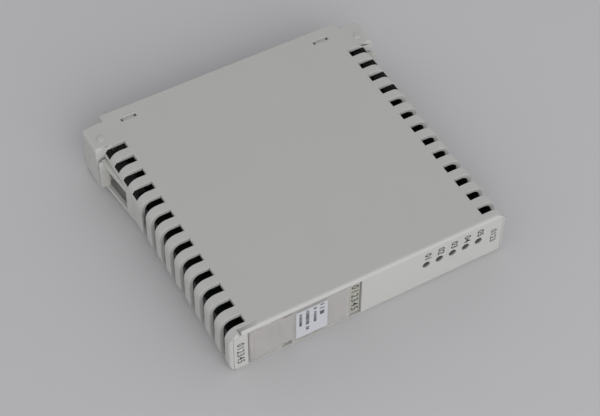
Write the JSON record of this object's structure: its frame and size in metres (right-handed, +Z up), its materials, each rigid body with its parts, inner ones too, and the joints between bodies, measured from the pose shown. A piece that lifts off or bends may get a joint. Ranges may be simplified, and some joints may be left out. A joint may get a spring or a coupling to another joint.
{
  "type": "plc module",
  "caption": "Slim plug-in communication module for a remote I/O rack, with vent slots, status lights, a label flap, side latches and a rear plug.",
  "frame": {"origin": "under the middle of the whole module, on the plane that it rests on", "axes": "+X to the right along the front face, +Y from the front face towards the rear plug, +Z up through the thickness"},
  "size_m": [0.1026, 0.103, 0.0183],
  "materials": {
    "casing": "off-white moulded plastic, fine matt texture",
    "latch_plastic": "off-white moulded plastic, smoother than the casing",
    "clear_flap": "clear plastic, slightly frosted",
    "label_paper": "white film label, matt",
    "card": "printed grey card, matt",
    "light_lens": "smoked lens, unlit",
    "black_plastic": "black glass-filled plastic",
    "board": "green solder mask",
    "chip_plastic": "black epoxy, matt",
    "steel": "bright zinc or nickel plate",
    "can_aluminium": "bare aluminium",
    "ferrite": "dark ferrite",
    "fuse_glass": "glass tube",
    "gold": "gold plate"
  },
  "bodies": {
    "casing": {"cover_shell": "casing", "base_shell": "casing", "front_panel": "casing", "tag_card": "card", "type_strip": "card", "status_light_1": "light_lens", "status_light_2": "light_lens", "status_light_3": "light_lens", "status_light_4": "light_lens", "status_light_5": "light_lens", "light_holder": "black_plastic", "main_board": "board", "board_screws": "steel", "processor": "chip_plastic", "memory_chips": "chip_plastic", "bus_transceivers": "chip_plastic", "optocouplers": "chip_plastic", "power_converter": "black_plastic", "smoothing_capacitors": "can_aluminium", "filter_inductor": "ferrite", "clock_crystal": "steel", "board_fuse": "fuse_glass", "chip_resistors": "chip_plastic", "slot_screens": "black_plastic", "rear_carrier": "casing", "rear_plug": "black_plastic", "plug_contacts": "gold", "guide_pins": "steel"},
    "flap": {"label_flap": "clear_flap", "rating_label": "label_paper"},
    "latch_l": {"latch_left": "latch_plastic"},
    "latch_r": {"latch_right": "latch_plastic"}
  },
  "joints": [
    {"name": "flap_hinge", "type": "hinge", "parent": "casing", "child": "flap", "pos_m": [-0.0409, -0.0504, 0.0088], "axis": [0, 0, -1], "range_deg": [0, 95]},
    {"name": "latch_left_press", "type": "hinge", "parent": "casing", "child": "latch_l", "pos_m": [-0.0461, 0.01679, 0.0079], "axis": [0, 0, -1], "range_deg": [0, 11], "stiffness_Nm_per_rad": 0.05},
    {"name": "latch_right_press", "type": "hinge", "parent": "casing", "child": "latch_r", "pos_m": [0.0461, 0.01679, 0.0079], "axis": [0, 0, 1], "range_deg": [0, 11], "stiffness_Nm_per_rad": 0.05}
  ]
}
